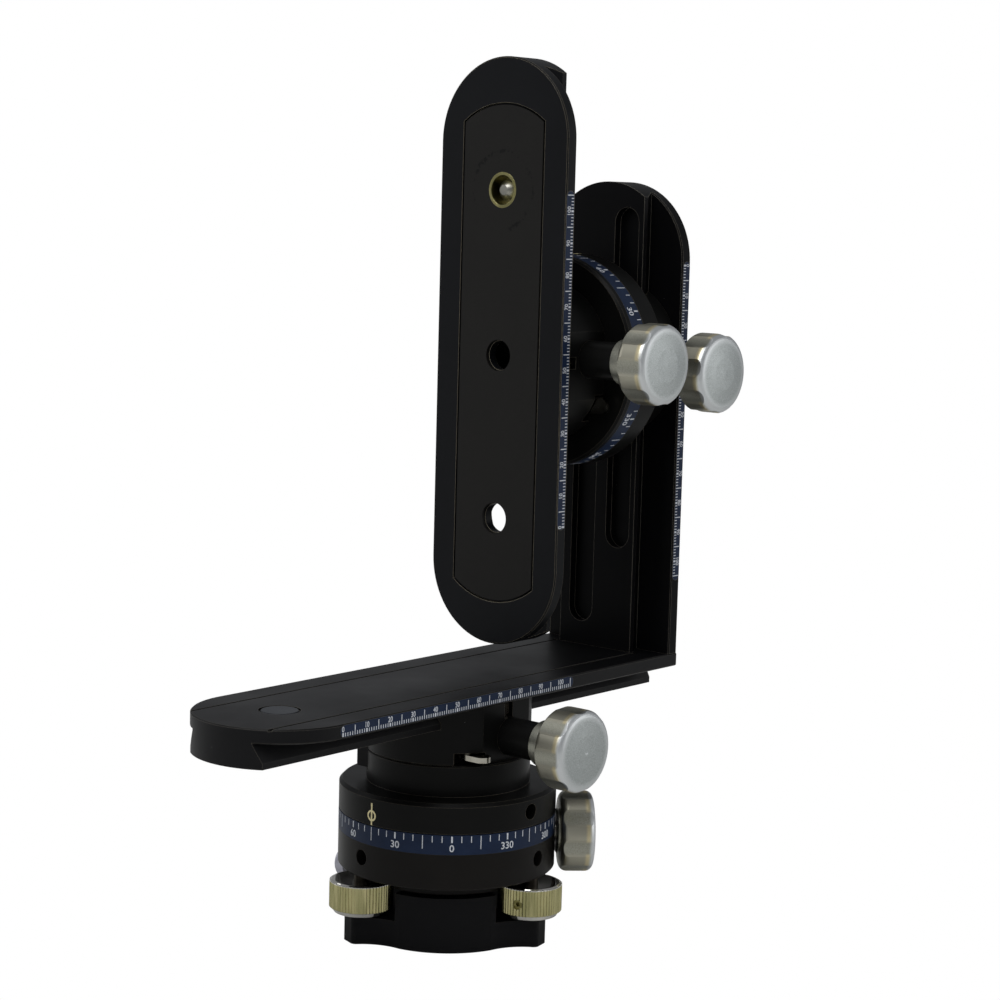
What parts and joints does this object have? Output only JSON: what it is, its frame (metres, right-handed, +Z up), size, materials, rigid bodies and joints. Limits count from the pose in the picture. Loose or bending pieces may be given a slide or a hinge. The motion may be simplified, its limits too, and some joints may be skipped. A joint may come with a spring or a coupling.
{
  "type": "panoramic tripod head",
  "caption": "Levelling panoramic head: pan rotator, long dovetail rail on a clamp, upright arm, tilt rotator between two clamps, and a camera plate",
  "frame": {"origin": "on the pan axis, at the mouth of the tripod socket in the underside of the base", "axes": "+Z up along the pan axis, +X along the rail towards the upright, clamp knobs point to -Y"},
  "size_m": [0.1892, 0.096, 0.2805],
  "materials": {
    "black_anodised": "satin black anodised",
    "silver_anodised": "bead blasted, silver anodised",
    "wheel_brass": "nickel plated, knurled, polished ends",
    "spindle_alloy": "turned",
    "turned_steel": "turned, bright",
    "screw_steel": "black oxide",
    "lever_chrome": "polished chrome",
    "blue_scale": "blue anodised, printed marks",
    "grip_pad": "thin textured rubber",
    "bearing_plastic": "moulded acetal"
  },
  "bodies": {
    "base": {"base_body": "black_anodised", "tripod_bush": "turned_steel", "pivot_post": "turned_steel", "level_studs": "turned_steel"},
    "wheel_1": {"thumbwheel_1": "wheel_brass", "wheel_grub_1": "screw_steel"},
    "wheel_2": {"thumbwheel_2": "wheel_brass", "wheel_grub_2": "screw_steel"},
    "wheel_3": {"thumbwheel_3": "wheel_brass", "wheel_grub_3": "screw_steel"},
    "pivot_lock": {"pivot_knob": "silver_anodised"},
    "cup": {"pivot_cup": "bearing_plastic"},
    "pan_lower": {"pan_base": "black_anodised", "pan_scale": "blue_scale", "pivot_cap": "black_anodised"},
    "pan_lock": {"pan_knob": "silver_anodised", "pan_screw": "turned_steel"},
    "pan_upper": {"pan_ring": "black_anodised", "pan_spindle": "turned_steel", "rail_clamp_body": "black_anodised", "rail_clamp_stem": "black_anodised", "rail_clamp_bolts": "screw_steel"},
    "rail_arm": {"rail": "black_anodised", "rail_scale": "blue_scale", "rail_plug": "black_anodised", "upright": "black_anodised", "upright_scale": "blue_scale", "upright_screws": "screw_steel"},
    "tilt_base": {"tilt_index_ring": "black_anodised", "tilt_spindle": "spindle_alloy", "tilt_nut": "spindle_alloy", "unit_clamp_body": "black_anodised", "unit_clamp_stem": "black_anodised", "unit_clamp_bolts": "screw_steel"},
    "tilt_head": {"tilt_scale_ring": "black_anodised", "tilt_scale": "blue_scale", "plate_clamp_body": "black_anodised", "plate_clamp_stem": "black_anodised", "plate_clamp_bolts": "screw_steel"},
    "plate": {"camera_plate": "black_anodised", "plate_scale": "blue_scale", "plate_pad": "grip_pad", "plate_bush": "turned_steel"},
    "captive_screw": {"camera_screw": "turned_steel"},
    "rail_stop_pin": {"rail_clamp_stop_pin": "turned_steel"},
    "rail_jaw": {"rail_clamp_jaw": "black_anodised"},
    "rail_lock": {"rail_clamp_knob": "silver_anodised", "rail_clamp_rod": "turned_steel"},
    "rail_lever": {"rail_clamp_lever": "lever_chrome"},
    "unit_stop_pin": {"unit_clamp_stop_pin": "turned_steel"},
    "unit_jaw": {"unit_clamp_jaw": "black_anodised"},
    "unit_lock": {"unit_clamp_knob": "silver_anodised", "unit_clamp_rod": "turned_steel"},
    "unit_lever": {"unit_clamp_lever": "lever_chrome"},
    "plate_stop_pin": {"plate_clamp_stop_pin": "turned_steel"},
    "plate_jaw": {"plate_clamp_jaw": "black_anodised"},
    "plate_lock": {"plate_clamp_knob": "silver_anodised", "plate_clamp_rod": "turned_steel"},
    "plate_lever": {"plate_clamp_lever": "lever_chrome"}
  },
  "joints": [
    {"name": "level_x", "type": "hinge", "parent": "base", "child": "cup", "pos_m": [0, 0, 0.0292], "axis": [1, 0, 0], "range_deg": [-0.9, 0.9]},
    {"name": "level_y", "type": "hinge", "parent": "cup", "child": "pan_lower", "pos_m": [0, 0, 0.0292], "axis": [0, 1, 0], "range_deg": [-0.9, 0.9]},
    {"name": "wheel_1_turn", "type": "hinge", "parent": "base", "child": "wheel_1", "pos_m": [0.02304, 0.02074, 0.015], "axis": [0, 0, 1], "continuous": true},
    {"name": "wheel_2_turn", "type": "hinge", "parent": "base", "child": "wheel_2", "pos_m": [-0.02948, 0.00958, 0.015], "axis": [0, 0, 1], "continuous": true},
    {"name": "wheel_3_turn", "type": "hinge", "parent": "base", "child": "wheel_3", "pos_m": [0.00645, -0.03032, 0.015], "axis": [0, 0, 1], "continuous": true},
    {"name": "pivot_lock_turn", "type": "hinge", "parent": "base", "child": "pivot_lock", "pos_m": [0, 0, 0.0152], "axis": [-0.1736, 0.9848, 0], "range_deg": [0, 360]},
    {"name": "pan", "type": "hinge", "parent": "pan_lower", "child": "pan_upper", "pos_m": [0, 0, 0.0402], "axis": [0, 0, 1], "continuous": true},
    {"name": "pan_lock_turn", "type": "hinge", "parent": "pan_lower", "child": "pan_lock", "pos_m": [0, 0, 0.0322], "axis": [0.7071, -0.7071, 0], "range_deg": [0, 360]},
    {"name": "rail_slide", "type": "slide", "parent": "pan_upper", "child": "rail_arm", "axis": [1, 0, 0], "range_m": [-0.06, 0.07]},
    {"name": "unit_slide", "type": "slide", "parent": "rail_arm", "child": "tilt_base", "axis": [0, 0, 1], "range_m": [-0.002, 0.025]},
    {"name": "tilt", "type": "hinge", "parent": "tilt_base", "child": "tilt_head", "pos_m": [0.048, 0, 0.1831], "axis": [1, 0, 0], "range_deg": [-120, 120]},
    {"name": "plate_slide", "type": "slide", "parent": "tilt_head", "child": "plate", "axis": [0, 0, 1], "range_m": [-0.005, 0.06]},
    {"name": "camera_screw_turn", "type": "hinge", "parent": "plate", "child": "captive_screw", "pos_m": [0.025, 0, 0.23835], "axis": [1, 0, 0], "continuous": true},
    {"name": "rail_lock_turn", "type": "hinge", "parent": "pan_upper", "child": "rail_lock", "pos_m": [0.002, 0, 0.067], "axis": [0, -1, 0], "range_deg": [0, 720]},
    {"name": "rail_jaw_slide", "type": "slide", "parent": "pan_upper", "child": "rail_jaw", "axis": [0, 1, 0], "range_m": [0, 0.00251]},
    {"name": "rail_lever_turn", "type": "hinge", "parent": "pan_upper", "child": "rail_lever", "pos_m": [-0.0131, -0.0193, 0.0623], "axis": [0, 0, -1], "range_deg": [0, 25]},
    {"name": "rail_stop_pin_press", "type": "slide", "parent": "pan_upper", "child": "rail_stop_pin", "axis": [0, 0, -1], "range_m": [0, 0.001], "stiffness_N_per_m": 300, "springref_m": -0.002},
    {"name": "unit_lock_turn", "type": "hinge", "parent": "tilt_base", "child": "unit_lock", "pos_m": [0.0702, 0, 0.1811], "axis": [0, -1, 0], "range_deg": [0, 720]},
    {"name": "unit_jaw_slide", "type": "slide", "parent": "tilt_base", "child": "unit_jaw", "axis": [0, 1, 0], "range_m": [0, 0.00251]},
    {"name": "unit_lever_turn", "type": "hinge", "parent": "tilt_base", "child": "unit_lever", "pos_m": [0.0657, -0.0193, 0.1962], "axis": [-1, 0, 0], "range_deg": [0, 25]},
    {"name": "unit_stop_pin_press", "type": "slide", "parent": "tilt_base", "child": "unit_stop_pin", "axis": [-1, 0, 0], "range_m": [0, 0.001], "stiffness_N_per_m": 300, "springref_m": -0.002},
    {"name": "plate_lock_turn", "type": "hinge", "parent": "tilt_head", "child": "plate_lock", "pos_m": [0.037, 0, 0.1851], "axis": [0, -1, 0], "range_deg": [0, 720]},
    {"name": "plate_jaw_slide", "type": "slide", "parent": "tilt_head", "child": "plate_jaw", "axis": [0, 1, 0], "range_m": [0, 0.00251]},
    {"name": "plate_lever_turn", "type": "hinge", "parent": "tilt_head", "child": "plate_lever", "pos_m": [0.0415, -0.0193, 0.17], "axis": [1, 0, 0], "range_deg": [0, 25]},
    {"name": "plate_stop_pin_press", "type": "slide", "parent": "tilt_head", "child": "plate_stop_pin", "axis": [1, 0, 0], "range_m": [0, 0.001], "stiffness_N_per_m": 300, "springref_m": -0.002}
  ],
  "couplings": [
    {"joint": "rail_jaw_slide", "follows": "rail_lock_turn", "m_per_rad": 0.00019894},
    {"joint": "unit_jaw_slide", "follows": "unit_lock_turn", "m_per_rad": 0.00019894},
    {"joint": "plate_jaw_slide", "follows": "plate_lock_turn", "m_per_rad": 0.00019894}
  ]
}
